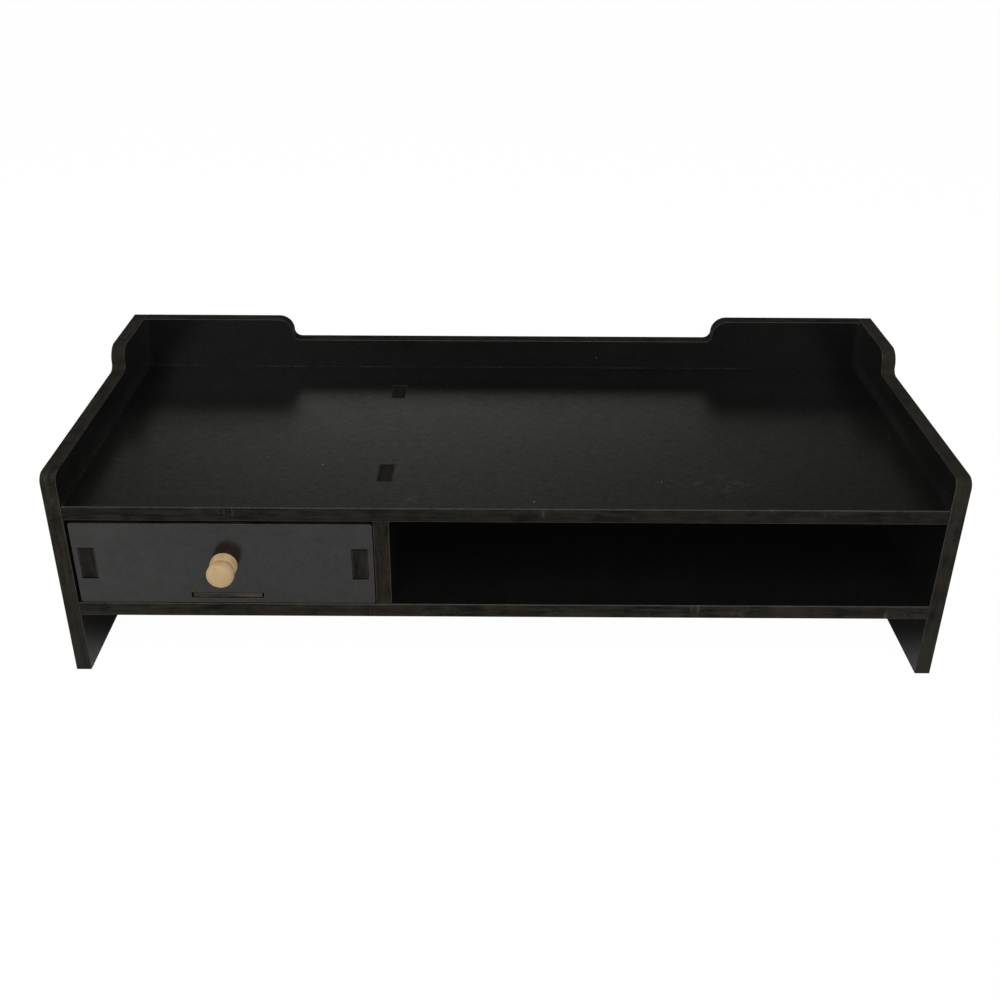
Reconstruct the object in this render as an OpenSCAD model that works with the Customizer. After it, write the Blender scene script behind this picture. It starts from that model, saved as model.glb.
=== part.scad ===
// Monitor riser stand: two shelves between two side panels, a back panel with
// raised corners, one divider and one drawer with a turned wooden knob.
// Every board is cut flat from one sheet thickness and slots into its
// neighbours with tabs and mortises.
// Frame: +X to the user's right, +Y to the rear, +Z up. The origin is on the
// table, under the middle of the whole stand with its knob.

/* [Stand] */
// Width over the two side panels
stand_w = 515; // [480:1:600]
// Depth of the side panels, front to back
stand_d = 200; // [195:1:230]
// Thickness of the boards
board_t = 9; // [8:0.5:10]
// Height of the raised rear corners above the table
ear_h = 150; // [148:1:165]
// Depth of the raised rear corner of a side panel, with its rounded step
ear_side = 60; // [40:1:80]
// Width of the raised corner of the back panel, with its rounded step
ear_back = 102.5; // [70:0.5:140]
// Outer radius of the step up to a raised corner
ear_round = 10; // [6:1:12]
// Inner radius of the step up to a raised corner
ear_fillet = 5; // [3:1:8]
// Radius of the front top corner of a side panel
front_round = 6; // [2:1:10]

/* [Shelves] */
// Clear height under the bottom shelf
under_h = 40.5; // [36:0.5:44]
// Clear height between the two shelves
bay_h = 56.5; // [52:0.5:60]
// Middle of the divider, left of the middle of the stand
divider_x = -70; // [-90:1:-50]
// Length of a board tab, front to back
tab_l = 20; // [15:1:25]
// Middle of the front tabs, from the front edge
tab_front = 40; // [30:1:50]
// Middle of the rear tabs, from the front edge
tab_rear = 150; // [130:1:155]
// Width of the tabs that pass through the back panel
back_tab_w = 40; // [30:1:60]
// Spacing of the tabs that pass through the back panel
back_tab_pitch = 160; // [120:1:180]
// Height of the tabs that hold the back panel in the side panels
back_end_tab_h = 30; // [20:1:40]
// Play around a tab in its mortise
tab_play = 0.15; // [0.1:0.05:0.3]

/* [Drawer] */
// Gap between the left side panel and the drawer front
drawer_gap_left = 1.9; // [0.5:0.1:3]
// Gap between the drawer front and the divider
drawer_gap_right = 0.5; // [0.4:0.1:3]
// Gap above the drawer
drawer_gap_top = 2; // [1:0.5:4]
// Running gap under the drawer
drawer_gap_floor = 0.5; // [0.4:0.1:1]
// Gap between the drawer and the back panel
drawer_gap_rear = 0.5; // [0.4:0.1:4]
// How far the drawer front stands out past the drawer sides
drawer_margin = 3.3; // [2:0.1:6]
// Height of the tabs of the drawer sides
drawer_tab_h = 20; // [14:1:26]
// Play above and below the tabs of the drawer sides
drawer_tab_play = 0.5; // [0.2:0.1:1]
// Thickness of the drawer bottom
bottom_t = 3; // [2.5:0.5:4]
// Height of the drawer bottom above the lower edge of the drawer
bottom_up = 3.7; // [3:0.1:6]
// Width of the tabs of the drawer bottom
bottom_tab_w = 40; // [30:1:50]
// Play at each end of the tabs of the drawer bottom
bottom_tab_play = 1; // [0.3:0.1:1.5]

/* [Knob] */
// Diameter of the knob
knob_d = 15.6; // [13:0.2:19]
// Length of the knob in front of the drawer
knob_l = 14; // [11:0.5:18]
// Radius of the rounded front edge of the knob
knob_ease = 2; // [0.5:0.1:2.5]
// Depth of the hollow turned round the middle of the knob
knob_waist = 1; // [0.4:0.1:1.4]
// Height of the knob's axis above the lower edge of the drawer
knob_up = 27; // [22:1:30]
// Diameter of the knob screw's shank
screw_d = 3.4; // [3:0.1:4]
// Diameter of the knob screw's head
screw_head_d = 7; // [6:0.5:8]
// Height of the knob screw's head
screw_head_h = 2.2; // [2:0.1:2.6]

/* [Hidden] */
$fn = 64;
// Small gap where one board butts against another
butt = 0.1;
// How far the end of a tab stays below the surface that it passes through
tab_sink = 0.3;

half_w = stand_w / 2;
in_x = half_w - board_t;
front_y = -(stand_d + knob_l) / 2 + knob_l;
rear_y = front_y + stand_d;
rim_h = ear_h - ear_round - ear_fillet;
low_z = under_h;
bay_z = under_h + board_t;
top_z = bay_z + bay_h;
tray_z = top_z + board_t;
shelf_d = stand_d - board_t;
back_tab_z = bay_z + bay_h / 2;

bay_left = -in_x;
bay_right = divider_x - board_t / 2;
dr_x0 = bay_left + drawer_gap_left;
dr_x1 = bay_right - drawer_gap_right;
dr_w = dr_x1 - dr_x0;
dr_mid = (dr_x0 + dr_x1) / 2;
dr_z0 = bay_z + drawer_gap_floor;
dr_h = bay_h - drawer_gap_floor - drawer_gap_top;
dr_zm = dr_z0 + dr_h / 2;
dr_d = shelf_d - drawer_gap_rear;
side_l = dr_d - 2 * board_t;
box_x0 = dr_x0 + drawer_margin;
box_x1 = dr_x1 - drawer_margin;
bot_z = dr_z0 + bottom_up;
knob_z = dr_z0 + knob_up;
// Radius of the hollow round the knob, seen in section
knob_cove = 3;
// How far the knob screw goes into the knob
screw_in = knob_l - 5;

board_colour = [0.11, 0.105, 0.10];
wood_colour = [0.80, 0.68, 0.48];
steel_colour = [0.72, 0.72, 0.73];

// A rectangle from its low corner to its high corner.
module rect(x0, y0, x1, y1) {
    translate([x0, y0]) square([x1 - x0, y1 - y0]);
}

// A rectangle about its centre, widened by the play on all sides.
module slot(x, y, w, h, play = 0) {
    translate([x - w / 2 - play, y - h / 2 - play])
        square([w + 2 * play, h + 2 * play]);
}

// The step up to a raised corner: a plateau from u0 to u1, with an S-shaped
// rise on its left end made of one inner and one outer arc.
module raised_corner(u0, u1) {
    c = u0 + ear_fillet;
    translate([c + ear_round, rim_h + ear_fillet]) circle(ear_round);
    rect(c + ear_round, rim_h - 1, u1, ear_h);
    rect(c, rim_h - 1, u1, rim_h + ear_fillet);
    difference() {
        rect(u0, rim_h - 1, c + 0.01, rim_h + ear_fillet);
        translate([u0, rim_h + ear_fillet]) circle(ear_fillet);
    }
}

// Outline of a side panel, drawn with the front edge at 0 and the rear edge
// at stand_d.
module side_outline() {
    rect(front_round, 0, stand_d, rim_h);
    rect(0, 0, stand_d, rim_h - front_round);
    translate([front_round, rim_h - front_round]) circle(front_round);
    raised_corner(stand_d - ear_side - ear_fillet, stand_d);
}

// A side panel with the mortises for both shelves and the open notch at its
// rear edge for the back panel.
module side_panel(x0) {
    translate([x0, front_y, 0])
        rotate([90, 0, 90])
            linear_extrude(board_t)
                difference() {
                    side_outline();
                    for (y = [tab_front, tab_rear], z = [low_z, top_z])
                        slot(y, z + board_t / 2, tab_l + 2 * tab_play, board_t);
                    rect(shelf_d - tab_play, back_tab_z - back_end_tab_h / 2 - tab_play,
                         stand_d + 1, back_tab_z + back_end_tab_h / 2 + tab_play);
                }
}

module left_side_panel() {
    color(board_colour) side_panel(-half_w);
}

module right_side_panel() {
    color(board_colour) side_panel(in_x);
}

// Right half of the back panel's outline, from the middle outwards.
module back_half() {
    rect(-1, low_z, in_x - butt, rim_h);
    raised_corner(in_x - ear_back - ear_fillet, in_x - butt);
    slot((in_x + half_w - tab_sink) / 2 - 2, back_tab_z, board_t - tab_sink + 4,
         back_end_tab_h);
}

// The back panel stands between the side panels. Its end tabs fill the
// notches in them, and the shelf tabs pass through it.
module back_panel() {
    color(board_colour)
        translate([0, rear_y, 0])
            rotate([90, 0, 0])
                linear_extrude(board_t - butt)
                    difference() {
                        union() {
                            back_half();
                            mirror([1, 0]) back_half();
                        }
                        for (k = [-1, 0, 1]) {
                            slot(k * back_tab_pitch, top_z + board_t / 2,
                                 back_tab_w + 2 * tab_play, board_t);
                            rect(k * back_tab_pitch - back_tab_w / 2 - tab_play, low_z - 1,
                                 k * back_tab_pitch + back_tab_w / 2 + tab_play, bay_z);
                        }
                    }
}

// A shelf, front edge at 0, lower face at z0: a plain board with two mortises
// for the divider, and slightly thinner tabs on both ends and on the rear edge.
module shelf(z0) {
    translate([0, front_y, z0]) {
        linear_extrude(board_t)
            difference() {
                rect(-in_x + butt, 0, in_x - butt, shelf_d);
                for (y = [tab_front, tab_rear])
                    slot(divider_x, y, board_t, tab_l, tab_play);
            }
        translate([0, 0, tab_play])
            linear_extrude(board_t - 2 * tab_play) {
                for (y = [tab_front, tab_rear], s = [-1, 1])
                    slot(s * (half_w - tab_sink - board_t), y, 2 * board_t, tab_l);
                for (k = [-1, 0, 1])
                    rect(k * back_tab_pitch - back_tab_w / 2, shelf_d - 5,
                         k * back_tab_pitch + back_tab_w / 2, stand_d - tab_sink);
            }
    }
}

module top_shelf() {
    color(board_colour) shelf(top_z);
}

module bottom_shelf() {
    color(board_colour) shelf(low_z);
}

// The divider parts the drawer bay from the open bay. Its tabs pass through
// both shelves.
module divider_panel() {
    color(board_colour)
        translate([divider_x - board_t / 2, front_y, 0])
            rotate([90, 0, 90])
                linear_extrude(board_t) {
                    rect(0, bay_z + butt, shelf_d - 2 * butt, top_z - butt);
                    for (y = [tab_front, tab_rear])
                        rect(y - tab_l / 2, low_z + tab_sink,
                             y + tab_l / 2, tray_z - tab_sink);
                }
}

// The drawer front: two tall slots for the tabs of the sides, one low slot
// for the tab of the bottom, and the clearance hole of the knob screw.
module drawer_front() {
    color(board_colour)
        translate([0, front_y + board_t, 0])
            rotate([90, 0, 0])
                linear_extrude(board_t)
                    difference() {
                        rect(dr_x0, dr_z0, dr_x1, dr_z0 + dr_h);
                        for (x = [box_x0 + board_t / 2, box_x1 - board_t / 2])
                            slot(x, dr_zm, board_t + 2 * tab_play,
                                 drawer_tab_h + 2 * drawer_tab_play);
                        rect(dr_mid - bottom_tab_w / 2 - bottom_tab_play, bot_z - 0.4,
                             dr_mid + bottom_tab_w / 2 + bottom_tab_play, bot_z + bottom_t + 0.3);
                        translate([dr_mid, knob_z]) circle(d = screw_d + 0.4);
                    }
}

// A side of the drawer: end tabs for the front and the back, and one slot for
// the tab of the bottom.
module drawer_side(x0) {
    translate([x0, front_y + board_t, 0])
        rotate([90, 0, 90])
            linear_extrude(board_t)
                difference() {
                    union() {
                        rect(butt, dr_z0, side_l - butt, dr_z0 + dr_h);
                        slot(side_l / 2, dr_zm, side_l + 2 * (board_t - tab_sink),
                             drawer_tab_h);
                    }
                    rect(side_l / 2 - bottom_tab_w / 2 - bottom_tab_play, bot_z - 0.3,
                         side_l / 2 + bottom_tab_w / 2 + bottom_tab_play, bot_z + bottom_t + 0.3);
                }
}

module drawer_left_side() {
    color(board_colour) drawer_side(box_x0);
}

module drawer_right_side() {
    color(board_colour) drawer_side(box_x1 - board_t);
}

module drawer_back() {
    color(board_colour)
        translate([0, front_y + dr_d, 0])
            rotate([90, 0, 0])
                linear_extrude(board_t)
                    difference() {
                        rect(box_x0, dr_z0, box_x1, dr_z0 + dr_h);
                        for (s = [box_x0 - 1, box_x1 - board_t - 2 * tab_play])
                            rect(s, dr_zm - drawer_tab_h / 2 - drawer_tab_play,
                                 s + board_t + 2 * tab_play + 1,
                                 dr_zm + drawer_tab_h / 2 + drawer_tab_play);
                        rect(dr_mid - bottom_tab_w / 2 - bottom_tab_play, bot_z - 0.3,
                             dr_mid + bottom_tab_w / 2 + bottom_tab_play, bot_z + bottom_t + 0.3);
                    }
}

// The thin drawer bottom, held by one tab in each of the four boards around it.
module drawer_bottom() {
    color(board_colour)
        translate([0, front_y, bot_z])
            linear_extrude(bottom_t) {
                rect(box_x0 + board_t + butt, board_t + butt,
                     box_x1 - board_t - butt, board_t + side_l - butt);
                rect(dr_mid - bottom_tab_w / 2, tab_sink,
                     dr_mid + bottom_tab_w / 2, dr_d - tab_sink);
                slot(dr_mid, board_t + side_l / 2, box_x1 - box_x0 - 2 * tab_sink,
                     bottom_tab_w);
            }
}

// The turned knob: a short cylinder with a rounded front edge, a shallow hollow
// round its middle and a blind hole for its screw.
module drawer_knob() {
    color(wood_colour)
        translate([dr_mid, front_y - 0.02, knob_z])
            rotate([90, 0, 0])
                difference() {
                    rotate_extrude()
                        difference() {
                            union() {
                                rect(0, 0, knob_d / 2, knob_l - knob_ease - 0.02);
                                rect(0, 0, knob_d / 2 - knob_ease, knob_l - 0.02);
                                intersection() {
                                    translate([knob_d / 2 - knob_ease, knob_l - knob_ease - 0.02])
                                        circle(knob_ease);
                                    rect(0, 0, knob_d / 2, knob_l);
                                }
                            }
                            translate([knob_d / 2 - knob_waist + knob_cove, knob_l * 0.46])
                                circle(knob_cove);
                        }
                    translate([0, 0, -1]) cylinder(d = screw_d + 0.1, h = screw_in + 1.6);
                }
}

// The pan-head screw that holds the knob from inside the drawer, with a cross
// recess in its head.
module knob_screw() {
    color(steel_colour)
        translate([dr_mid, front_y + board_t + 0.02, knob_z])
            rotate([90, 0, 0])
                difference() {
                    union() {
                        cylinder(d = screw_d, h = board_t + screw_in);
                        translate([0, 0, -screw_head_h * 0.55])
                            cylinder(d = screw_head_d, h = screw_head_h * 0.55);
                        translate([0, 0, -screw_head_h])
                            cylinder(d1 = screw_head_d * 0.7, d2 = screw_head_d,
                                     h = screw_head_h * 0.45);
                    }
                    for (a = [0, 90])
                        rotate([0, 0, a])
                            translate([-2, -0.45, -screw_head_h - 1])
                                cube([4, 0.9, 2.3]);
                }
}

left_side_panel();
right_side_panel();
back_panel();
top_shelf();
bottom_shelf();
divider_panel();
drawer_front();
drawer_left_side();
drawer_right_side();
drawer_back();
drawer_bottom();
drawer_knob();
knob_screw();
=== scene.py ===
# Looks of the monitor riser stand: satin black boards with rougher cut edges,
# slotted together, and a drawer with a turned wooden knob.
# All lengths in the geometry code are millimetres in the frame's own axes:
# +X to the user's right, +Y to the rear, +Z up. Meshes are made in metres.
import math

import bmesh
import bpy
from mathutils import Matrix, Vector
from mathutils.geometry import tessellate_polygon

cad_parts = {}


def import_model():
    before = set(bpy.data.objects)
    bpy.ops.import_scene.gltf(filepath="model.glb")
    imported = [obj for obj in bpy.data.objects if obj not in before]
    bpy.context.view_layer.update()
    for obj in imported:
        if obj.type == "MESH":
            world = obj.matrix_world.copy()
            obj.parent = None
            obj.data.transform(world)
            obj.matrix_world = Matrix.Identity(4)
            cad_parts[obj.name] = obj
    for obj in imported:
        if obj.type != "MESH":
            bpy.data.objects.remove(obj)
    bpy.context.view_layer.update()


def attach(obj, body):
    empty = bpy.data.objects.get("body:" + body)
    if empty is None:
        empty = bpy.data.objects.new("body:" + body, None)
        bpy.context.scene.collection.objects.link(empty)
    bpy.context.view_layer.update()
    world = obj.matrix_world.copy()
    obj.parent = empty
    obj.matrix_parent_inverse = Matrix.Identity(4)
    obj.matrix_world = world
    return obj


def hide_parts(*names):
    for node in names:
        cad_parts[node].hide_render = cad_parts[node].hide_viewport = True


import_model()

MM = 0.001
FRONT = -93.0  # y of the front edges of the boards

# ---------------------------------------------------------------------------
# Shader helper
# ---------------------------------------------------------------------------


class Shader:
    """A Principled material with short calls for the nodes that feed it."""

    def __init__(self, name, **constants):
        self.mat = bpy.data.materials.new(name)
        self.mat.use_nodes = True
        self.tree = self.mat.node_tree
        self.tree.nodes.clear()
        self.out = self.add("ShaderNodeOutputMaterial")
        self.bsdf = self.add("ShaderNodeBsdfPrincipled")
        self.tree.links.new(self.bsdf.outputs["BSDF"], self.out.inputs["Surface"])
        for key, value in constants.items():
            self.bsdf.inputs[key.replace("_", " ")].default_value = value

    def add(self, kind, **props):
        n = self.tree.nodes.new(kind)
        for key, value in props.items():
            setattr(n, key, value)
        return n

    def put(self, socket, value):
        if isinstance(value, bpy.types.NodeSocket):
            self.tree.links.new(value, socket)
        else:
            socket.default_value = value

    def set(self, name, value):
        self.put(self.bsdf.inputs[name], value)

    def coords(self, scale=(1, 1, 1), move=(0, 0, 0), turn=(0, 0, 0)):
        at = self.add("ShaderNodeTexCoord").outputs["Object"]
        m = self.add("ShaderNodeMapping", vector_type="POINT")
        self.put(m.inputs["Vector"], at)
        m.inputs["Location"].default_value = move
        m.inputs["Rotation"].default_value = turn
        m.inputs["Scale"].default_value = scale
        return m.outputs["Vector"]

    def noise(self, at, scale, detail=2.0, rough=0.5, distort=0.0):
        n = self.add("ShaderNodeTexNoise", noise_dimensions="3D")
        self.put(n.inputs["Vector"], at)
        n.inputs["Scale"].default_value = scale
        n.inputs["Detail"].default_value = detail
        n.inputs["Roughness"].default_value = rough
        n.inputs["Distortion"].default_value = distort
        return n.outputs["Fac"]

    def cells(self, at, scale, feature="F1", spread=1.0):
        n = self.add("ShaderNodeTexVoronoi", feature=feature, voronoi_dimensions="3D")
        self.put(n.inputs["Vector"], at)
        n.inputs["Scale"].default_value = scale
        n.inputs["Randomness"].default_value = spread
        return n

    def math(self, op, a, b=0.0, clamp=False):
        n = self.add("ShaderNodeMath", operation=op, use_clamp=clamp)
        self.put(n.inputs[0], a)
        self.put(n.inputs[1], b)
        return n.outputs[0]

    def span(self, value, a, b, c=0.0, d=1.0, smooth=True):
        n = self.add("ShaderNodeMapRange", clamp=True)
        n.interpolation_type = "SMOOTHSTEP" if smooth else "LINEAR"
        self.put(n.inputs["Value"], value)
        n.inputs["From Min"].default_value = a
        n.inputs["From Max"].default_value = b
        n.inputs["To Min"].default_value = c
        n.inputs["To Max"].default_value = d
        return n.outputs["Result"]

    def mix(self, share, a, b):
        n = self.add("ShaderNodeMix", data_type="RGBA", blend_type="MIX")
        self.put(n.inputs[0], share)
        for socket, value in ((n.inputs[6], a), (n.inputs[7], b)):
            if isinstance(value, (tuple, list)) and len(value) == 3:
                value = (*value, 1.0)
            self.put(socket, value)
        return n.outputs[2]

    def axes(self, at):
        n = self.add("ShaderNodeSeparateXYZ")
        self.put(n.inputs[0], at)
        return n.outputs["X"], n.outputs["Y"], n.outputs["Z"]

    def bump(self, height, distance, strength=1.0, normal=None):
        n = self.add("ShaderNodeBump")
        n.inputs["Strength"].default_value = strength
        n.inputs["Distance"].default_value = distance
        self.put(n.inputs["Height"], height)
        if normal is not None:
            self.put(n.inputs["Normal"], normal)
        return n.outputs["Normal"]


# ---------------------------------------------------------------------------
# Materials
# ---------------------------------------------------------------------------


def board_face(name, tone=0.0034, pebble_height=0.00004, haze=1.0, dust=1.0, contrast=0.3, grain=0.5, satin=0.24,
               shine=0.5, seams=(), dust_and_light_films=(), blotch=0.0, scuffs=()):
    """Satin black coated face: fine pebble, cloudy handling marks, sparse dust.

    seams list places where dust has gathered in a joint, and films the places
    painted paler by an even film: dust in some, painted light (a painted sheen) in
    others. Each is bands (axis, from, to) in millimetres that are multiplied
    together, and a strength. Dust in a seam is broken, a film is even. scuffs
    lists rubbed patches (x, y, half width, half depth, strength) seen from above.
    """
    s = Shader(name, IOR=1.5, Specular_IOR_Level=shine)
    at = s.coords()
    x, yy, z = s.axes(at)
    pebble = s.noise(at, 520, 2.0, 0.6)
    ripple = s.noise(at, 200, 2.0, 0.55)
    cloud = s.noise(at, 58, 3.0, 0.55)
    smudge = s.noise(at, 14, 4.0, 0.62, 0.5)
    wisp = s.noise(s.coords(scale=(1.0, 0.35, 0.7), turn=(0.5, 0.2, 0.6)), 40, 4.0, 0.62, 0.8)
    veil = s.math("ADD", s.math("MULTIPLY", s.span(smudge, 0.40, 0.72), 0.6),
                  s.math("MULTIPLY", s.span(wisp, 0.52, 0.74), 0.4))

    def within(bands, share):
        for axis, start, end in bands:
            band = s.span({"x": x, "y": yy, "z": z}[axis], start * MM, end * MM)
            share = s.math("MULTIPLY", share, band)
        return share

    # dust: single small grains
    flecks = s.cells(at, 120)
    size = s.axes(flecks.outputs["Color"])[0]
    edge = s.math("MULTIPLY", s.math("POWER", size, 8.0), 0.062 * dust)
    speck = s.span(s.math("SUBTRACT", edge, flecks.outputs["Distance"]), 0.0, 0.010)
    low, high = tone * (1 - contrast), tone * (1 + contrast)
    base = s.mix(s.span(pebble, 0.36, 0.64), (low, 0.99 * low, 0.955 * low), (high, 0.99 * high, 0.955 * high))
    base = s.mix(s.math("MULTIPLY", veil, 0.20 * haze), base, (0.026, 0.0255, 0.0245))
    if blotch:
        upper = s.span(z, 0.070, 0.098, 0.30, 1.0)
        patch = s.span(s.noise(s.coords(scale=(1.0, 1.0, 0.55)), 40, 2.0, 0.5, 0.4), 0.47, 0.72)
        base = s.mix(s.math("MULTIPLY", s.math("MULTIPLY", patch, upper), blotch), base, (0.030, 0.030, 0.0295))
    for a, b, wide, deep, strength in scuffs:
        share = within((("x", a - wide, a - 0.3 * wide), ("x", a + wide, a + 0.3 * wide),
                        ("y", b - deep, b - 0.3 * deep), ("y", b + deep, b + 0.3 * deep)), strength)
        torn = s.math("MULTIPLY", s.span(s.noise(at, 150, 3.0, 0.65), 0.46, 0.62),
                      s.span(s.noise(at, 900, 2.0, 0.6), 0.40, 0.66))
        base = s.mix(s.math("MULTIPLY", share, torn), base, (0.15, 0.148, 0.138))
    base = s.mix(s.math("MULTIPLY", speck, 0.55), base, (0.28, 0.275, 0.26))
    # an even pale film: dust in some places, painted light in others
    for *bands, strength in dust_and_light_films:
        share = within(bands, s.span(cloud, 0.2, 0.8, 0.6 * strength, 1.4 * strength))
        base = s.mix(share, base, (0.085, 0.083, 0.079))
    if seams:
        broken = s.math("MULTIPLY", s.span(s.noise(at, 34, 3.0, 0.62), 0.40, 0.66, 0.34, 1.0),
                        s.span(s.noise(at, 420, 2.0, 0.6), 0.35, 0.62, 0.25, 1.0))
        for *bands, strength in seams:
            base = s.mix(within(bands, s.math("MULTIPLY", broken, strength)), base, (0.085, 0.082, 0.075))
    s.set("Base Color", base)
    rough = s.math("ADD", s.span(cloud, 0.3, 0.7, satin - 0.015, satin + 0.015), s.math("MULTIPLY", veil, 0.05 * haze))
    rough = s.math("ADD", rough, s.math("MULTIPLY", speck, 0.2))
    s.set("Roughness", rough)
    # the tops of the pebble shine a little more than the hollows between them
    tops = s.math("ADD", s.math("MULTIPLY", s.math("SUBTRACT", pebble, 0.5), 0.74 * grain),
                  s.math("MULTIPLY", s.math("SUBTRACT", ripple, 0.5), 0.60 * grain))
    s.set("Specular IOR Level", s.math("ADD", s.math("MULTIPLY", tops, 2 * shine), shine))
    height = s.math("ADD", pebble, s.math("MULTIPLY", ripple, 0.6))
    s.set("Normal", s.bump(height, pebble_height))
    return s.mat


def board_edge(name, dark, light, rough=0.55, shine=0.16, along=None, shade_band=None, painted_pale_ends=0.0):
    """Cut edge of the board: matt brownish-grey fibres, in streaks that run along the edge.

    along is the thickness axis: the streaks are fine across it and long the other
    ways. tab is a band (axis, from, to) in millimetres painted darker, painted shade
    where the end of a board lies sunk in a slot, and worn is how far the edge is
    painted paler towards the table, painted bounce light from the white floor, and
    towards the top.
    """
    s = Shader(name, IOR=1.45, Specular_IOR_Level=shine)
    at = s.coords()
    stretch = tuple(1.0 if axis == along else (0.10 if along else 1.0) for axis in "xyz")
    thin = tuple(1.0 if axis == along else (0.05 if along else 1.0) for axis in "xyz")
    streak = s.noise(s.coords(scale=stretch), 480, 3.0, 0.6, 0.2)
    hair = s.noise(s.coords(scale=thin, move=(0.11, 0.07, 0.05)), 1250, 2.0, 0.6)
    patch = s.noise(at, 95, 3.0, 0.6, 0.3)
    fibre = s.noise(at, 750, 3.0, 0.65)
    pore = s.noise(at, 2300, 2.0, 0.6)
    blend = s.math("ADD", s.math("ADD", s.math("MULTIPLY", patch, 0.28), s.math("MULTIPLY", hair, 0.24)),
                   s.math("ADD", s.math("MULTIPLY", streak, 0.34), s.math("MULTIPLY", fibre, 0.14)))
    base = s.mix(s.span(blend, 0.42, 0.58), dark, light)
    # warmer and cooler stretches
    warm = s.span(s.noise(at, 36, 2.0, 0.5), 0.42, 0.60)
    base = s.mix(s.math("MULTIPLY", warm, 0.35), base, (light[0] * 1.02, light[1] * 0.88, light[2] * 0.74))
    # a few paler rubbed marks, slanting across the edge
    rub = s.math("MULTIPLY", s.span(s.noise(at, 42, 4.0, 0.7), 0.55, 0.68),
                 s.span(s.noise(s.coords(scale=(1.0, 0.6, 0.16), turn=(0.2, 0.9, 0.3)), 620, 3.0, 0.6), 0.50, 0.66))
    pale = tuple(min(1.0, 2.6 * c) for c in light)
    base = s.mix(s.math("MULTIPLY", rub, 0.8), base, pale)
    # painted shade: the band is darkened where the end of a board lies sunk in a slot
    if shade_band:
        axis, start, end = shade_band
        painted_shade = s.span(dict(zip("xyz", s.axes(at)))[axis], start * MM, end * MM, 0.0, 0.62)
        base = s.mix(painted_shade, base, (0.0040, 0.0040, 0.0028))
    # painted bounce light: the edge is painted paler towards the table, where light thrown up from the white floor
    # falls, and paler towards the top
    if painted_pale_ends:
        z = s.axes(at)[2]
        ends = s.math("ADD", s.span(z, 0.044, 0.020, 0.0, painted_pale_ends), s.span(z, 0.100, 0.124, 0.0, 0.55 * painted_pale_ends))
        base = s.mix(ends, base, tuple(1.3 * c for c in light))
    s.set("Base Color", base)
    s.set("Roughness", s.span(blend, 0.35, 0.65, rough + 0.08, rough - 0.08))
    height = s.math("ADD", s.math("MULTIPLY", pore, 0.4), s.math("ADD", fibre, streak))
    s.set("Normal", s.bump(height, 0.00005))
    return s.mat


def knob_wood():
    """Sanded pale wood turned along the knob's axis: growth rings on the end, fibres along the side."""
    s = Shader("knob_wood", IOR=1.45, Specular_IOR_Level=0.20)
    # measured from the knob's axis, with the heart of the wood low and to the left of it
    at = s.coords(move=(0.1608, 0.10, -0.077))
    warp = s.noise(at, 150, 3.0, 0.55)
    x, y, z = s.axes(at)
    dx, dz = s.math("ADD", x, 0.0016), s.math("ADD", z, 0.0028)
    reach = s.math("SQRT", s.math("ADD", s.math("MULTIPLY", dx, dx), s.math("MULTIPLY", dz, dz)))
    reach = s.math("ADD", reach, s.math("MULTIPLY", warp, 0.0034))
    turn = s.math("FRACT", s.math("MULTIPLY", reach, 560.0))
    late = s.math("MULTIPLY", s.span(turn, 0.15, 0.85), s.span(turn, 0.85, 1.0, 1.0, 0.0))
    along = s.coords(scale=(1, 0.045, 1), move=(0.3, 0.1, 0.2))
    fibre = s.noise(along, 2400, 3.0, 0.6)
    vessel = s.noise(s.coords(scale=(1, 0.03, 1)), 4200, 1.0, 0.5)
    tone = s.noise(at, 170, 2.0, 0.5, 0.3)
    base = s.mix(late, (0.640, 0.472, 0.268), (0.535, 0.358, 0.172))
    base = s.mix(s.span(fibre, 0.35, 0.7, 0.0, 0.35), base, (0.48, 0.308, 0.147))
    base = s.mix(s.span(vessel, 0.63, 0.72, 0.0, 0.45), base, (0.31, 0.19, 0.095))
    base = s.mix(s.span(tone, 0.40, 0.64, 0.0, 0.55), base, (0.620, 0.456, 0.286))
    # warm brown in the waist: burn where the tool turned the wood, and painted warm shade from light thrown back and
    # forth in the hollow
    waist = s.math("MULTIPLY", s.span(y, 0.0040, 0.0015), s.span(y, -0.0050, -0.0025))
    base = s.mix(s.math("MULTIPLY", waist, 0.14), base, (0.430, 0.262, 0.105))
    # end grain drinks the light: the front is darker than the sides. Its right side is painted browner: painted shade
    # on the side turned from the light
    end = s.span(y, -0.0035, -0.0062)
    base = s.mix(s.math("MULTIPLY", end, 0.36), base, (0.330, 0.235, 0.118))
    brown = s.math("MULTIPLY", s.span(s.math("SUBTRACT", x, s.math("MULTIPLY", warp, 0.005)), -0.001, 0.004), 0.30)
    base = s.mix(s.math("MULTIPLY", end, brown), base, (0.400, 0.255, 0.095))
    s.set("Base Color", base)
    s.set("Roughness", s.span(fibre, 0.3, 0.7, 0.52, 0.66))
    height = s.math("SUBTRACT", s.math("MULTIPLY", fibre, 0.6), s.math("MULTIPLY", late, 0.25))
    s.set("Normal", s.bump(height, 0.00007))
    return s.mat


def zinc_steel():
    s = Shader("zinc_steel", Metallic=1.0)
    at = s.coords()
    bloom = s.noise(at, 700, 3.0, 0.6)
    fine = s.noise(s.coords(scale=(1, 6, 1)), 2500, 2.0, 0.6)
    base = s.mix(s.span(bloom, 0.35, 0.65), (0.50, 0.51, 0.53), (0.66, 0.66, 0.64))
    s.set("Base Color", base)
    s.set("Roughness", s.span(bloom, 0.3, 0.7, 0.24, 0.40))
    s.set("Normal", s.bump(fine, 0.00002))
    return s.mat


# the faces are one satin black finish, the drawer front's glossier; each piece's tone below is set to the light on
# that piece, so these are lit and shaded copies, painted lighter or darker
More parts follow.
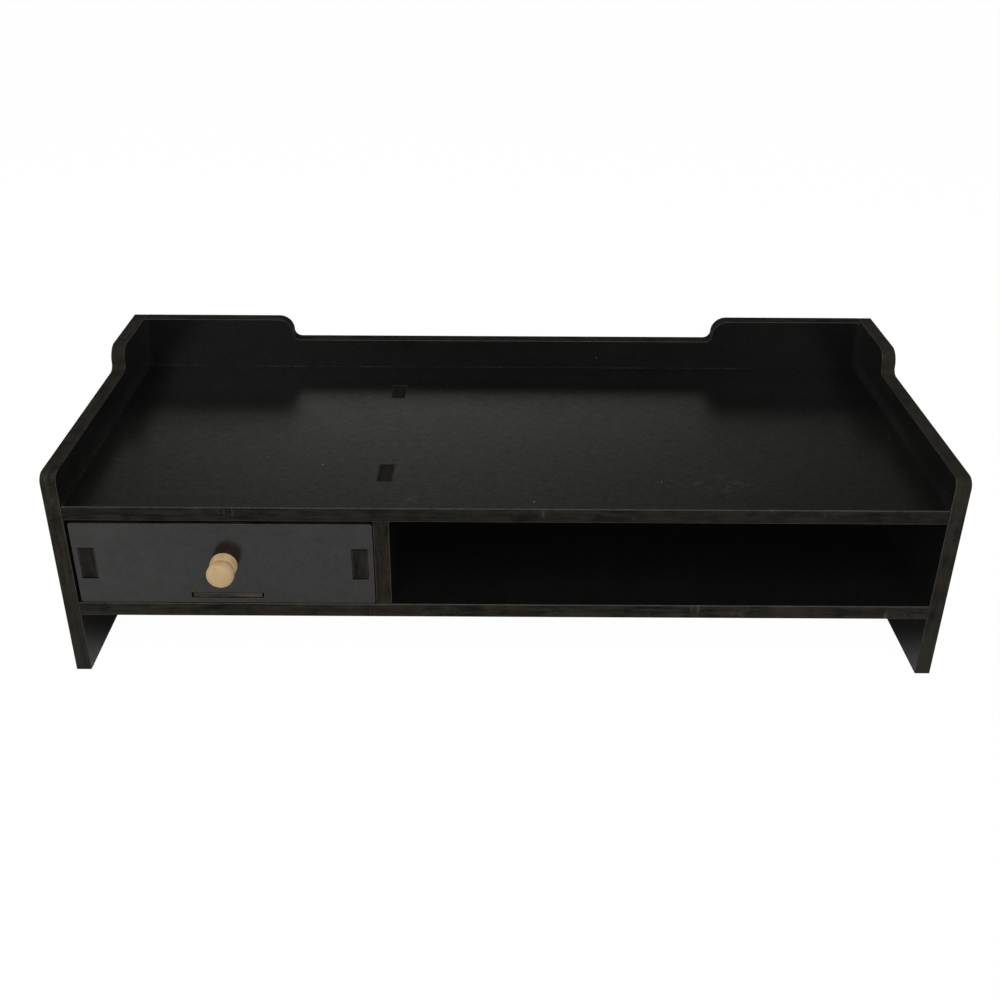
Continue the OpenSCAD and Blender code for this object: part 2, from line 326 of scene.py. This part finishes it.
FACE = board_face("board_face")
SHELF_FACE = board_face("shelf_face", 0.0008, haze=0.12, dust=1.4, contrast=0.6, grain=0.68, satin=0.285,
                        seams=((("y", FRONT + 189.2, FRONT + 190.6), ("x", 186, 158), 0.50),
                               (("x", -246.5, -248.2), 0.20), (("x", 246.5, 248.2), 0.10)),
                        scuffs=((124, -62, 30, 18, 0.14), (-57, -84, 12, 8, 0.15)))
BACK_FACE = board_face("back_panel_face", 0.0030, haze=0.5, contrast=0.2, satin=0.19,
                       seams=((("x", -245.0, -248.2), 0.26), (("x", 244.0, 248.2), 0.20)))
SIDE_FACE = board_face("side_panel_face", 0.0024, shine=0.42, seams=((("x", -252, -249), ("z", 124, 115.5), 0.10),
                                                 (("x", 252, 249), ("z", 125, 120.5), ("z", 114.5, 118.5),
                                                  ("y", FRONT + 60, FRONT + 110), 0.12)),
                       # the first film, on the left panel's inner face above the shelf towards the rear, is painted
                       # light, a painted sheen; the second, near the right rear corner, is dust
                       dust_and_light_films=((("x", -253, -249.5), ("y", FRONT + 60, FRONT + 150), ("z", 100, 112), 0.065),
                              (("x", 252, 249.5), ("y", FRONT + 150, FRONT + 186), ("z", 116, 124), 0.035)))
LOW_FACE = board_face("bottom_shelf_face", 0.0028, haze=0.25, dust=0.4)
DRAWER_FACE = board_face("drawer_front_face", 0.0030, 0.00002, 1.0, 0.6, grain=0.24, satin=0.20, shine=0.32, blotch=0.24,
                         # the film over the left end of the drawer front is painted light: that end is painted paler
                         dust_and_light_films=((("x", -165, -215), 0.05),))


def cut(name, share, thickness, shade_band=None, painted_pale_ends=0.0):
    """Cut edge of a board, painted lighter or darker by share: one cut edge, with lit and shaded copies set piece by
    piece to the light on each.
    """
    dark, light = (0.0028, 0.0026, 0.0021), (0.0188, 0.0166, 0.0130)
    dark, light = (tuple(share * c for c in tint) for tint in (dark, light))
    return board_edge(name, dark, light, 0.6, 0.072, thickness, shade_band, painted_pale_ends)


EDGE = {axis: cut("board_cut_edge_" + axis, 0.80, axis) for axis in "xyz"}
# the left and right side edges and the bottom shelf's edge are lit and shaded copies of one cut edge
SIDE_EDGE = {"left": cut("left_side_panel_cut_edge", 1.12, "x", painted_pale_ends=0.44),
             "right": cut("right_side_panel_cut_edge", 1.06, "x", painted_pale_ends=0.80)}
LOW_EDGE = cut("bottom_shelf_cut_edge", 1.10, "z")
# painted shade on the divider's ends where they sit sunk in the top shelf's slots
DIVIDER_EDGE = cut("divider_cut_edge", 1.00, "x", shade_band=("z", 113.0, 114.2))
ARRIS = board_edge("board_arris", (0.0105, 0.0095, 0.0078), (0.029, 0.0260, 0.0213), 0.38, 0.34)
THIN_EDGE = board_edge("thin_board_edge", (0.022, 0.0172, 0.0125), (0.056, 0.0450, 0.0340), 0.6, 0.072, "z")
WOOD = knob_wood()
STEEL = zinc_steel()

# ---------------------------------------------------------------------------
# Board meshes
# ---------------------------------------------------------------------------


def outline(corners):
    """Points of a closed outline from its corners (a, b, radius), each rounded by its radius."""
    pts = []
    n = len(corners)
    for i, (a, b, r) in enumerate(corners):
        p = Vector((a, b))
        if r <= 0:
            pts.append(p)
            continue
        da = (Vector(corners[i - 1][:2]) - p).normalized()
        db = (Vector(corners[(i + 1) % n][:2]) - p).normalized()
        half = math.acos(max(-1.0, min(1.0, da.dot(db)))) / 2
        centre = p + (da + db).normalized() * (r / math.sin(half))
        p0, p1 = p + da * (r / math.tan(half)), p + db * (r / math.tan(half))
        a0 = math.atan2(p0.y - centre.y, p0.x - centre.x)
        sweep = math.atan2(p1.y - centre.y, p1.x - centre.x) - a0
        sweep = (sweep + math.pi) % (2 * math.pi) - math.pi
        steps = max(4, round((5 + 1.6 * r) * abs(sweep) / (math.pi / 2)))
        for k in range(steps + 1):
            t = a0 + sweep * k / steps
            pts.append(centre + Vector((math.cos(t), math.sin(t))) * r)
    clean = []
    for p in pts:
        if not clean or (p - clean[-1]).length > 1e-3:
            clean.append(p)
    if (clean[0] - clean[-1]).length <= 1e-3:
        clean.pop()
    return clean


def area(pts):
    return sum(pts[i - 1].x * p.y - p.x * pts[i - 1].y for i, p in enumerate(pts)) / 2


def rect(a0, b0, a1, b1, r=0.45):
    return [(a0, b0, r), (a1, b0, r), (a1, b1, r), (a0, b1, r)]


def circle(a, b, r, n=32):
    return [(a + r * math.cos(2 * math.pi * k / n), b + r * math.sin(2 * math.pi * k / n), 0)
            for k in range(n)]


def unfolded(tris, verts):
    """Triangles of a flat face, with each one that is only a line shared out to its neighbour."""

    def flat(t):
        a, b, c = (verts[i] for i in t)
        longest = max((b - a).length, (c - b).length, (a - c).length)
        return (b - a).cross(c - a).length < 1e-6 * longest * longest

    tris = [list(t) for t in tris]
    for _ in range(200):
        lines = [t for t in tris if flat(t)]
        if not lines:
            break
        for line in lines:
            span = {}
            for k in range(3):
                a, c = line[k], line[(k + 1) % 3]
                span[(verts[a] - verts[c]).length] = (a, c, line[(k + 2) % 3])
            a, c, middle = span[max(span)]
            other = next((t for t in tris if t is not line and a in t and c in t), None)
            if other is None or (flat(other) and len(lines) > 1 and line is not lines[-1]):
                continue
            far = next(i for i in other if i not in (a, c))
            tris = [t for t in tris if t is not line and t is not other] + [[a, middle, far], [middle, c, far]]
            break
    return tris


def board(name, axis, low, high, outer, holes=(), ease=0.4, steps=3, edge=None, face=None):
    """A flat board, low to high along its axis, with every arris eased.

    outer and holes are corner lists in the other two axes. Each face of the
    board, its cut edge and the eased arris have materials of their own. ease is
    the radius of the arris, or a function that gives it at a point of an outline,
    on the low side (-1) or the high side (1) of the board.
    """
    ease_at = ease if callable(ease) else (lambda hole, a, b, side: ease)
    place = {"x": lambda a, b, t: (t, a, b),
             "y": lambda a, b, t: (a, t, b),
             "z": lambda a, b, t: (a, b, t)}[axis]
    flip = axis == "y"
    loops = []
    for k, corners in enumerate([outer, *holes]):
        pts = outline(corners)
        if (area(pts) > 0) != (k == 0):
            pts.reverse()
        loops.append(pts)

    verts, faces, mats, normals = [], [], [], []
    angles = [math.pi / 2 * j / steps for j in range(steps + 1)]
    rings = [(low, 1, math.sin(t), -math.cos(t)) for t in angles]
    rings += [(high, -1, math.sin(t), math.cos(t)) for t in reversed(angles)]
    starts = []
    for hole, pts in enumerate(loops):
        n = len(pts)
        seg = []
        for i in range(n):
            d = (pts[(i + 1) % n] - pts[i]).normalized()
            seg.append(Vector((d.y, -d.x)))  # away from the board
        at_end = []
        for i in range(n):
            a, b = seg[i - 1], seg[i]
            if a.dot(b) > math.cos(math.radians(40)):
                m = (a + b).normalized()
                at_end.append((m, m))
            else:
                at_end.append((a, b))
        start = len(verts)
        starts.append((start, n))
        for end, sign, out, up in rings:
            for i in range(n):
                a, b = seg[i - 1], seg[i]
                e = ease_at(hole, pts[i].x, pts[i].y, -sign)
                q = pts[i] - (a + b) / (1 + a.dot(b)) * (e * (1 - out))
                verts.append(Vector(place(q.x, q.y, end + sign * e * (1 - abs(up)))) * MM)
        for k in range(len(rings) - 1):
            r0, r1 = start + k * n, start + (k + 1) * n
            for i in range(n):
                j = (i + 1) % n
                quad = [r0 + i, r0 + j, r1 + j, r1 + i]
                plan = [at_end[i][1], at_end[j][0], at_end[j][0], at_end[i][1]]
                ring = [rings[k], rings[k], rings[k + 1], rings[k + 1]]
                split = [Vector(place(p.x * g[2], p.y * g[2], g[3])) for p, g in zip(plan, ring)]
                faces.append(quad)
                normals.append(split)
                mats.append(2 if k == steps else 1)
    # the two faces
    last = len(rings) - 1
    for ring, sign in ((0, -1), (last, 1)):
        polys = [[verts[s + ring * n + i].copy() for i in range(n)] for s, n in starts]
        index = [s + ring * n + i for s, n in starts for i in range(n)]
        up = Vector(place(0, 0, 1))
        for t in unfolded([[index[i] for i in tri] for tri in tessellate_polygon(polys)], verts):
            across = (verts[t[1]] - verts[t[0]]).cross(verts[t[2]] - verts[t[0]])
            if (across.dot(up) > 0) != ((sign > 0) != flip):
                t.reverse()
            faces.append(t)
            normals.append([up * sign] * 3)
            mats.append(0)
    if flip:
        for f, nn in zip(faces, normals):
            f.reverse()
            nn.reverse()
    mesh = bpy.data.meshes.new(name)
    mesh.from_pydata(verts, [], faces)
    for m in (face or FACE, ARRIS, edge or EDGE[axis]):
        mesh.materials.append(m)
    mesh.polygons.foreach_set("material_index", mats)
    mesh.polygons.foreach_set("use_smooth", [True] * len(faces))
    mesh.normals_split_custom_set([v.normalized() for nn in normals for v in nn])
    mesh.update()
    obj = bpy.data.objects.new(name, mesh)
    bpy.context.scene.collection.objects.link(obj)
    return obj


def finish_piece(obj, node, body):
    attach(obj, body)
    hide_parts(node)
    return obj


R = 0.5          # corner radius of a cut board, seen on its face
TAB_U = ((30.0, 50.0), (140.0, 160.0))   # tabs along the depth, from the front edge
SHELF_Z = ((40.5, 49.5), (106.0, 115.0))
BACK_TABS = (-160.0, 0.0, 160.0)


def y(u):
    return FRONT + u


def side_panel(name, x0, x1):
    outer = [(y(0), 0, R), (y(200), 0, R),
             (y(200), 62.6, R), (y(190.85), 62.6, R), (y(190.85), 92.9, R), (y(200), 92.9, R),
             (y(200), 150, R), (y(140), 150, 10), (y(140), 135, 5), (y(0), 135, 6)]
    holes = [rect(y(a) - 0.2, z0 - 0.12, y(b) + 0.2, z1 + 0.03) for a, b in TAB_U for z0, z1 in SHELF_Z]
    inner = 1 if x0 < 0 else -1

    def ease(hole, a, b, side):
        return 0.06 if hole and side == inner else 0.4

    return board(name, "x", x0, x1, outer, holes, ease=ease, edge=SIDE_EDGE["left" if x0 < 0 else "right"],
                 face=SIDE_FACE)


def back_panel(name):
    right = [(248.47, 40.5, R), (248.47, 62.75, 0), (257.2, 62.75, R), (257.2, 92.75, R),
             (248.47, 92.75, 0), (248.47, 150, R), (146, 150, 10), (146, 135, 5)]
    left = [(-a, b, r) for a, b, r in reversed(right)]
    low = []
    for c in BACK_TABS:
        low += [(c - 20.2, 40.5, R), (c - 20.2, 49.62, R), (c + 20.2, 49.62, R), (c + 20.2, 40.5, R)]
    outer = low + right + left
    holes = [rect(c - 20.2, 105.88, c + 20.2, 115.03) for c in BACK_TABS]

    # crisp in front, where it meets the side panels and the shelf's tabs

    def ease(hole, a, b, side):
        return 0.06 if side < 0 and (hole or (abs(a) > 247 and b < 149)) else 0.4

    return board(name, "y", y(191.1), y(200), outer, holes, ease=ease, face=BACK_FACE)


def shelf(name, z0, z1, face, edge):
    e, t = 248.47, 257.2
    right, left = [], []
    for a, b in TAB_U:
        right += [(e, y(a), 0), (t, y(a), R), (t, y(b), R), (e, y(b), 0)]
    for a, b in reversed(TAB_U):
        left += [(-e, y(b), 0), (-t, y(b), R), (-t, y(a), R), (-e, y(a), 0)]
    rear = []
    for c in reversed(BACK_TABS):
        rear += [(c + 20, y(191), 0), (c + 20, y(199.7), R), (c - 20, y(199.7), R), (c - 20, y(191), 0)]
    outer = [(-e, y(0), 0.66), (e, y(0), 0.66)] + right + [(e, y(191), R)] + rear + [(-e, y(191), R)] + left
    holes = [rect(-74.56, y(a) - 0.15, -65.44, y(b) + 0.15) for a, b in TAB_U]
    # crisp where the shelf meets the other boards, eased along the front

    def ease(hole, a, b, side):
        if hole:
            return 0.16
        return (0.6 if side > 0 else 0.42) if b < y(1) else 0.12

    return board(name, "z", z0, z1, outer, holes, ease=ease, edge=edge, face=face)


def divider_panel(name):
    top, low = [], []
    for a, b in TAB_U:
        low += [(y(a), 49.6, 0), (y(a), 40.8, R), (y(b), 40.8, R), (y(b), 49.6, 0)]
    for a, b in reversed(TAB_U):
        top += [(y(b), 105.9, 0), (y(b), 114.85, R), (y(a), 114.85, R), (y(a), 105.9, 0)]
    outer = [(y(0), 49.6, R)] + low + [(y(190.8), 49.6, R), (y(190.8), 105.9, R)] + top + [(y(0), 105.9, R)]
    return board(name, "x", -74.5, -65.5, outer, edge=DIVIDER_EDGE)


D0, D1, DZ0, DZ1 = -246.6, -75.0, 50.0, 104.0    # drawer front
MID = (D0 + D1) / 2
KNOB_Z = 77.0
SIDE_L, SIDE_R = (-243.3, -234.3), (-87.3, -78.3)


def drawer_front(name):
    holes = [rect((s[0] + s[1]) / 2 - 4.65, 66.5, (s[0] + s[1]) / 2 + 4.65, 87.5) for s in (SIDE_L, SIDE_R)]
    holes.append(rect(MID - 21, 53.3, MID + 21, 57.0))
    holes.append(circle(MID, KNOB_Z, 1.9))
    return board(name, "y", FRONT, FRONT + 9, rect(D0, DZ0, D1, DZ1, 1.4), holes, face=DRAWER_FACE)


def drawer_side(name, x0, x1):
    outer = [(y(9.1), DZ0, R), (y(181.4), DZ0, R),
             (y(181.4), 67, 0), (y(190.2), 67, R), (y(190.2), 87, R), (y(181.4), 87, 0),
             (y(181.4), DZ1, R), (y(9.1), DZ1, R),
             (y(9.1), 87, 0), (y(0.3), 87, R), (y(0.3), 67, R), (y(9.1), 67, 0)]
    return board(name, "x", x0, x1, outer, [rect(y(95.25) - 21, 53.4, y(95.25) + 21, 57.0)])


def drawer_back(name):
    a, b = SIDE_L[0], SIDE_R[1]
    outer = [(a, DZ0, R), (b, DZ0, R),
             (b, 66.5, R), (b - 9.3, 66.5, R), (b - 9.3, 87.5, R), (b, 87.5, R),
             (b, DZ1, R), (a, DZ1, R),
             (a, 87.5, R), (a + 9.3, 87.5, R), (a + 9.3, 66.5, R), (a, 66.5, R)]
    return board(name, "y", y(181.5), y(190.5), outer, [rect(MID - 21, 53.4, MID + 21, 57.0)])


def drawer_bottom(name):
    a, b, c, d = SIDE_L[1] + 0.1, SIDE_R[0] - 0.1, y(9.1), y(181.4)
    m, v = 20.0, y(95.25)
    r = 0.4
    outer = [(a, c, r), (MID - m, c, 0), (MID - m, y(0.3), r), (MID + m, y(0.3), r), (MID + m, c, 0),
             (b, c, r), (b, v - m, 0), (-78.6, v - m, r), (-78.6, v + m, r), (b, v + m, 0),
             (b, d, r), (MID + m, d, 0), (MID + m, y(190.2), r), (MID - m, y(190.2), r), (MID - m, d, 0),
             (a, d, r), (a, v + m, 0), (-243.0, v + m, r), (-243.0, v - m, r), (a, v - m, 0)]
    return board(name, "z", 53.7, 56.7, outer, ease=0.25, edge=THIN_EDGE)


# ---------------------------------------------------------------------------
# Turned and threaded pieces
# ---------------------------------------------------------------------------


def skin(name, rows, closed_ends, material, sharp=35):
    """A closed surface from rings of points; each end closes on a single point."""
    bm = bmesh.new()
    made = [[bm.verts.new(Vector(p) * MM) for p in row] for row in rows]
    n = len(rows[0])
    for k in range(len(made) - 1):
        for i in range(n):
            j = (i + 1) % n
            bm.faces.new((made[k][i], made[k][j], made[k + 1][j], made[k + 1][i]))
    for row, end in ((made[0], closed_ends[0]), (made[-1], closed_ends[1])):
        tip = bm.verts.new(Vector(end) * MM)
        for i in range(n):
            bm.faces.new((row[i], row[(i + 1) % n], tip))
    bmesh.ops.recalc_face_normals(bm, faces=bm.faces)
    mesh = bpy.data.meshes.new(name)
    bm.to_mesh(mesh)
    bm.free()
    mesh.materials.append(material)
    mesh.polygons.foreach_set("use_smooth", [True] * len(mesh.polygons))
    mesh.set_sharp_from_angle(angle=math.radians(sharp))
    obj = bpy.data.objects.new(name, mesh)
    bpy.context.scene.collection.objects.link(obj)
    return obj


def knob(name):
    """Turned knob: a base, a shallow waist and a rounded head, with a blind screw hole behind."""
    n = 112
    profile = [(1.75, 9.55), (1.75, 0.32), (2.05, 0.02), (7.40, 0.02), (7.66, 0.12), (7.78, 0.36)]
    profile += [(7.80, 0.9), (7.80, 1.8), (7.78, 2.7), (7.72, 3.6), (7.60, 4.4)]
    for k in range(1, 10):  # the waist, one smooth hollow from base to head
        t = k / 10
        profile.append((7.14 + 0.46 * (0.5 + 0.5 * math.cos(2 * math.pi * t)), 4.4 + 4.2 * t))
    profile += [(7.66, 8.7), (7.76, 9.4)]
    for k in range(0, 22):  # the head: full sides, well rounded to a slightly domed front
        t = math.pi / 2 * k / 22
        profile.append((7.80 * math.cos(t) ** 0.52, 10.2 + 3.8 * math.sin(t) ** 0.52))
    rows = []
    for r, d in profile:
        rows.append([(MID + r * math.cos(2 * math.pi * i / n), FRONT - d,
                      KNOB_Z + r * math.sin(2 * math.pi * i / n)) for i in range(n)])
    return skin(name, rows, ((MID, FRONT - 9.55, KNOB_Z), (MID, FRONT - 14.0, KNOB_Z)), WOOD, 50)


def screw(name):
    """Pan-head screw with a thread that runs into the knob and a cross recess in its head."""
    n, pitch = 40, 1.25
    base = FRONT + 9.02  # where the underside of the head meets the drawer front

    def ring(r, s):
        return [(MID + r * math.cos(2 * math.pi * i / n), base - s,
                 KNOB_Z + r * math.sin(2 * math.pi * i / n)) for i in range(n)]

    rows = []
    head = [(0.5, -2.2), (1.3, -2.17), (2.0, -2.06), (2.6, -1.86), (3.05, -1.55), (3.33, -1.15),
            (3.47, -0.7), (3.5, -0.3), (3.42, -0.08), (3.25, 0.0), (1.62, 0.0), (1.42, 0.2), (1.40, 2.6)]
    for r, s in head:
        rows.append(ring(r, s))
    count = 104
    for k in range(count + 1):
        s = 2.9 + (17.4 - 2.9) * k / count
        row = []
        for i in range(n):
            a = 2 * math.pi * i / n
            phase = (s / pitch - a / (2 * math.pi)) % 1.0
            ridge = max(0.0, 1 - abs(phase - 0.5) * 3.2)
            start = min(1.0, (s - 2.9) / 0.9)
            taper = 1.0 if s < 14.6 else 1 - 0.62 * (s - 14.6) / 2.8
            r = (1.18 + 0.52 * ridge * start + 0.2 * (1 - start)) * taper
            row.append((MID + r * math.cos(a), base - s, KNOB_Z + r * math.sin(a)))
        rows.append(row)
    body = skin(name, rows, ((MID, base + 2.2, KNOB_Z), (MID, base - 18.0, KNOB_Z)), STEEL, 40)
    # cross recess, wider at the top than at its floor
    bm = bmesh.new()
    ends = []
    for half_l, half_w, s in ((1.05, 0.30, -0.75), (2.15, 0.50, -2.6)):
        cross = []
        for k in range(4):  # each arm's two end corners, then the inner corner after it
            c, d = math.cos(0.24 + k * math.pi / 2), math.sin(0.24 + k * math.pi / 2)
            for a, b in ((half_l, -half_w), (half_l, half_w), (half_w, half_w)):
                cross.append(bm.verts.new(Vector((MID + a * c - b * d, base - s, KNOB_Z + a * d + b * c)) * MM))
        for k in range(4):
            bm.faces.new((cross[3 * k - 1], cross[3 * k], cross[3 * k + 1], cross[3 * k + 2]))
        bm.faces.new([cross[3 * k + 2] for k in range(4)])
        ends.append(cross)
    for i in range(12):
        j = (i + 1) % 12
        bm.faces.new((ends[0][i], ends[0][j], ends[1][j], ends[1][i]))
    bmesh.ops.recalc_face_normals(bm, faces=bm.faces)
    cut_mesh = bpy.data.meshes.new("recess_cutter")
    bm.to_mesh(cut_mesh)
    bm.free()
    cutter = bpy.data.objects.new("recess_cutter", cut_mesh)
    bpy.context.scene.collection.objects.link(cutter)
    mod = body.modifiers.new("recess", "BOOLEAN")
    mod.operation, mod.solver, mod.object = "DIFFERENCE", "EXACT", cutter
    dg = bpy.context.evaluated_depsgraph_get()
    cut = bpy.data.meshes.new_from_object(body.evaluated_get(dg))
    body.modifiers.clear()
    old, body.data = body.data, cut
    bpy.data.meshes.remove(old)
    bpy.data.objects.remove(cutter)
    bpy.data.meshes.remove(cut_mesh)
    cut.name = name
    cut.materials.clear()
    cut.materials.append(STEEL)
    cut.polygons.foreach_set("use_smooth", [True] * len(cut.polygons))
    cut.set_sharp_from_angle(angle=math.radians(38))
    return body


# ---------------------------------------------------------------------------
# The object
# ---------------------------------------------------------------------------

finish_piece(side_panel("side_panel_left", -257.5, -248.5), "left_side_panel", "stand")
finish_piece(side_panel("side_panel_right", 248.5, 257.5), "right_side_panel", "stand")
finish_piece(back_panel("panel_back"), "back_panel", "stand")
finish_piece(shelf("shelf_top", 106.0, 115.0, SHELF_FACE, EDGE["z"]), "top_shelf", "stand")
finish_piece(shelf("shelf_bottom", 40.5, 49.5, LOW_FACE, LOW_EDGE), "bottom_shelf", "stand")
finish_piece(divider_panel("panel_divider"), "divider_panel", "stand")
finish_piece(drawer_front("front_of_drawer"), "drawer_front", "drawer")
finish_piece(drawer_side("side_of_drawer_left", *SIDE_L), "drawer_left_side", "drawer")
finish_piece(drawer_side("side_of_drawer_right", *SIDE_R), "drawer_right_side", "drawer")
finish_piece(drawer_back("back_of_drawer"), "drawer_back", "drawer")
finish_piece(drawer_bottom("bottom_of_drawer"), "drawer_bottom", "drawer")
finish_piece(knob("knob_turned"), "drawer_knob", "drawer")
finish_piece(screw("screw_of_knob"), "knob_screw", "drawer")

# ---------------------------------------------------------------------------
# Stage, light and camera
# ---------------------------------------------------------------------------

scene = bpy.context.scene
scene.view_settings.view_transform = "Standard"
scene.view_settings.look = "None"
scene.view_settings.exposure = 0.0
scene.view_settings.gamma = 1.0
# the faint veil that a bright white set lays over a picture's blacks
scene.view_settings.use_curve_mapping = True
scene.view_settings.curve_mapping.black_level = (-0.0012, -0.0012, -0.0012)
scene.view_settings.curve_mapping.update()


def floor():
    """Plain pale floor, white to the eye, open to the eye from below, with a painted shadow under the stand: dimmer
    there in the light it throws back.
    """
    mesh = bpy.data.meshes.new("floor")
    e = 12.0
    mesh.from_pydata([(-e, -e, 0), (e, -e, 0), (e, e, 0), (-e, e, 0)], [], [(0, 1, 2, 3)])
    s = Shader("pale_floor")
    x, yy, _ = s.axes(s.coords())
    # painted shadow: under the stand the floor's colour is darker, so it throws back less light
    painted_shadow = s.math("MULTIPLY", s.span(s.math("ABSOLUTE", x), 0.265, 0.235),
                    s.span(s.math("ABSOLUTE", s.math("SUBTRACT", yy, 0.007)), 0.115, 0.085))
    plain = s.add("ShaderNodeBsdfDiffuse")
    s.put(plain.inputs["Color"], s.mix(painted_shadow, (0.92, 0.92, 0.91), (0.48, 0.48, 0.47)))
    # as bright in reflections as it is to the eye, in front where the light falls
    path = s.add("ShaderNodeLightPath")
    lift = s.add("ShaderNodeEmission")
    s.put(lift.inputs["Strength"], s.math("MULTIPLY", path.outputs["Is Glossy Ray"],
                                          s.span(yy, -0.12, -0.18, 0.0, 0.5)))
    lit = s.add("ShaderNodeAddShader")
    s.put(lit.inputs[0], plain.outputs[0])
    s.put(lit.inputs[1], lift.outputs[0])
    glow = s.add("ShaderNodeEmission")
    glow.inputs["Strength"].default_value = 0.985
    soft = s.add("ShaderNodeBsdfDiffuse")
    soft.inputs["Color"].default_value = (0.03, 0.03, 0.03, 1)
    both = s.add("ShaderNodeAddShader")
    s.put(both.inputs[0], glow.outputs[0])
    s.put(both.inputs[1], soft.outputs[0])
    below = s.add("ShaderNodeMixShader")
    s.put(below.inputs[0], s.add("ShaderNodeNewGeometry").outputs["Backfacing"])
    s.put(below.inputs[1], both.outputs[0])
    s.put(below.inputs[2], s.add("ShaderNodeBsdfTransparent").outputs[0])
    pick = s.add("ShaderNodeMixShader")
    s.put(pick.inputs[0], path.outputs["Is Camera Ray"])
    s.put(pick.inputs[1], lit.outputs[0])
    s.put(pick.inputs[2], below.outputs[0])
    s.tree.links.new(pick.outputs[0], s.out.inputs["Surface"])
    s.tree.nodes.remove(s.bsdf)
    mesh.materials.append(s.mat)
    obj = bpy.data.objects.new("floor", mesh)
    obj.location = (0, 0, -0.0001)
    scene.collection.objects.link(obj)


def world():
    """Dim studio with a white backdrop: a soft pale glow low behind the object, a fainter one all round."""
    w = bpy.data.worlds.new("studio")
    scene.world = w
    w.use_nodes = True
    t = w.node_tree
    t.nodes.clear()

    def add(kind, **props):
        n = t.nodes.new(kind)
        for k, v in props.items():
            setattr(n, k, v)
        return n

    def put(socket, v):
        if isinstance(v, bpy.types.NodeSocket):
            t.links.new(v, socket)
        else:
            socket.default_value = v

    def math_node(op, a, b=0.0):
        n = add("ShaderNodeMath", operation=op)
        put(n.inputs[0], a)
        put(n.inputs[1], b)
        return n.outputs[0]

    at = add("ShaderNodeTexCoord").outputs["Generated"]
    parts = add("ShaderNodeSeparateXYZ")
    put(parts.inputs[0], at)
    x, yy, z = parts.outputs
    bearing = math_node("ARCTAN2", x, yy)
    lift = math_node("ARCSINE", z)

    def bell(value, middle, below, above):
        """A bell in degrees, with its own spread on either side."""
        off = math_node("SUBTRACT", value, math.radians(middle))
        a, b = 1 / math.radians(below), 1 / math.radians(above)
        share = math_node("ADD", math_node("MULTIPLY", math_node("GREATER_THAN", off, 0.0), b - a), a)
        v = math_node("MULTIPLY", off, share)
        return math_node("EXPONENT", math_node("MULTIPLY", math_node("MULTIPLY", v, v), -0.5))

    # the glow behind, in its bearing and its height above the horizon
    main = math_node("MULTIPLY", bell(bearing, -6.7, 10.8, 17.2), bell(lift, 21.0, 6.0, 5.5))
    # the glow all round, which fades out on either side of the other
    turned = add("ShaderNodeMapRange", clamp=True, interpolation_type="SMOOTHSTEP")
    put(turned.inputs["Value"], math_node("ABSOLUTE", math_node("SUBTRACT", bearing, math.radians(5))))
    put(turned.inputs["From Min"], math.radians(35))
    put(turned.inputs["From Max"], math.radians(54))
    ring = math_node("MULTIPLY", turned.outputs["Result"], bell(lift, 22, 12, 12))
    level = math_node("ADD", math_node("ADD", math_node("MULTIPLY", main, 0.79), math_node("MULTIPLY", ring, 0.23)),
                      0.011)
    back = add("ShaderNodeBackground")
    put(back.inputs["Color"], (1.0, 0.99, 0.88, 1))
    put(back.inputs["Strength"], level)
    white = add("ShaderNodeBackground")
    put(white.inputs["Color"], (1, 1, 1, 1))
    pick = add("ShaderNodeMixShader")
    put(pick.inputs[0], add("ShaderNodeLightPath").outputs["Is Camera Ray"])
    put(pick.inputs[1], back.outputs[0])
    put(pick.inputs[2], white.outputs[0])
    out = add("ShaderNodeOutputWorld")
    put(out.inputs["Surface"], pick.outputs[0])


def softbox(name, at, aim, size, power, tint=(1, 1, 1)):
    light = bpy.data.lights.new(name, "AREA")
    light.shape = "RECTANGLE"
    light.size, light.size_y = size
    light.energy = power
    light.color = tint
    obj = bpy.data.objects.new(name, light)
    obj.location = at
    obj.rotation_mode = "QUATERNION"
    obj.rotation_quaternion = (Vector(aim) - Vector(at)).to_track_quat("-Z", "Y")
    scene.collection.objects.link(obj)


floor()
world()
softbox("overhead", (0.0, -1.30, 1.90), (0, 0, 0.05), (2.0, 1.0), 28.0)
softbox("key", (-0.95, -1.50, 1.25), (0, 0, 0.05), (1.6, 1.2), 7.2)
softbox("fill", (1.75, -0.85, 1.15), (0, 0, 0.05), (1.4, 1.2), 7.4)
softbox("front_fill", (1.10, -1.30, 1.20), (0, 0, 0.05), (1.4, 1.2), 3.6)
softbox("side", (-1.80, -0.20, 1.10), (0, 0, 0.05), (1.2, 1.2), 7.6)
softbox("rear", (0.0, 1.00, 1.60), (0, 0, 0.05), (2.2, 0.8), 1.0)

cam = bpy.data.cameras.new("camera")
cam.sensor_fit = "HORIZONTAL"
cam.sensor_width = 36.0
cam.lens = 41.0346
cam.shift_x, cam.shift_y = 0.0121, -0.0778
cam.clip_start, cam.clip_end = 0.01, 60
cam.dof.use_dof = False
camera = bpy.data.objects.new("camera", cam)
right = Vector((0.99998639, 0.00204780, 0.00479764))
ahead = Vector((0.00037447, 0.88916815, -0.45758043))
above = Vector((-0.00520295, 0.45757600, 0.88915529))
turn = Matrix((right, above, -ahead)).transposed().to_4x4()
camera.matrix_world = Matrix.Translation((-0.01028539, -0.63630308, 0.44894053)) @ turn
scene.collection.objects.link(camera)
scene.camera = camera
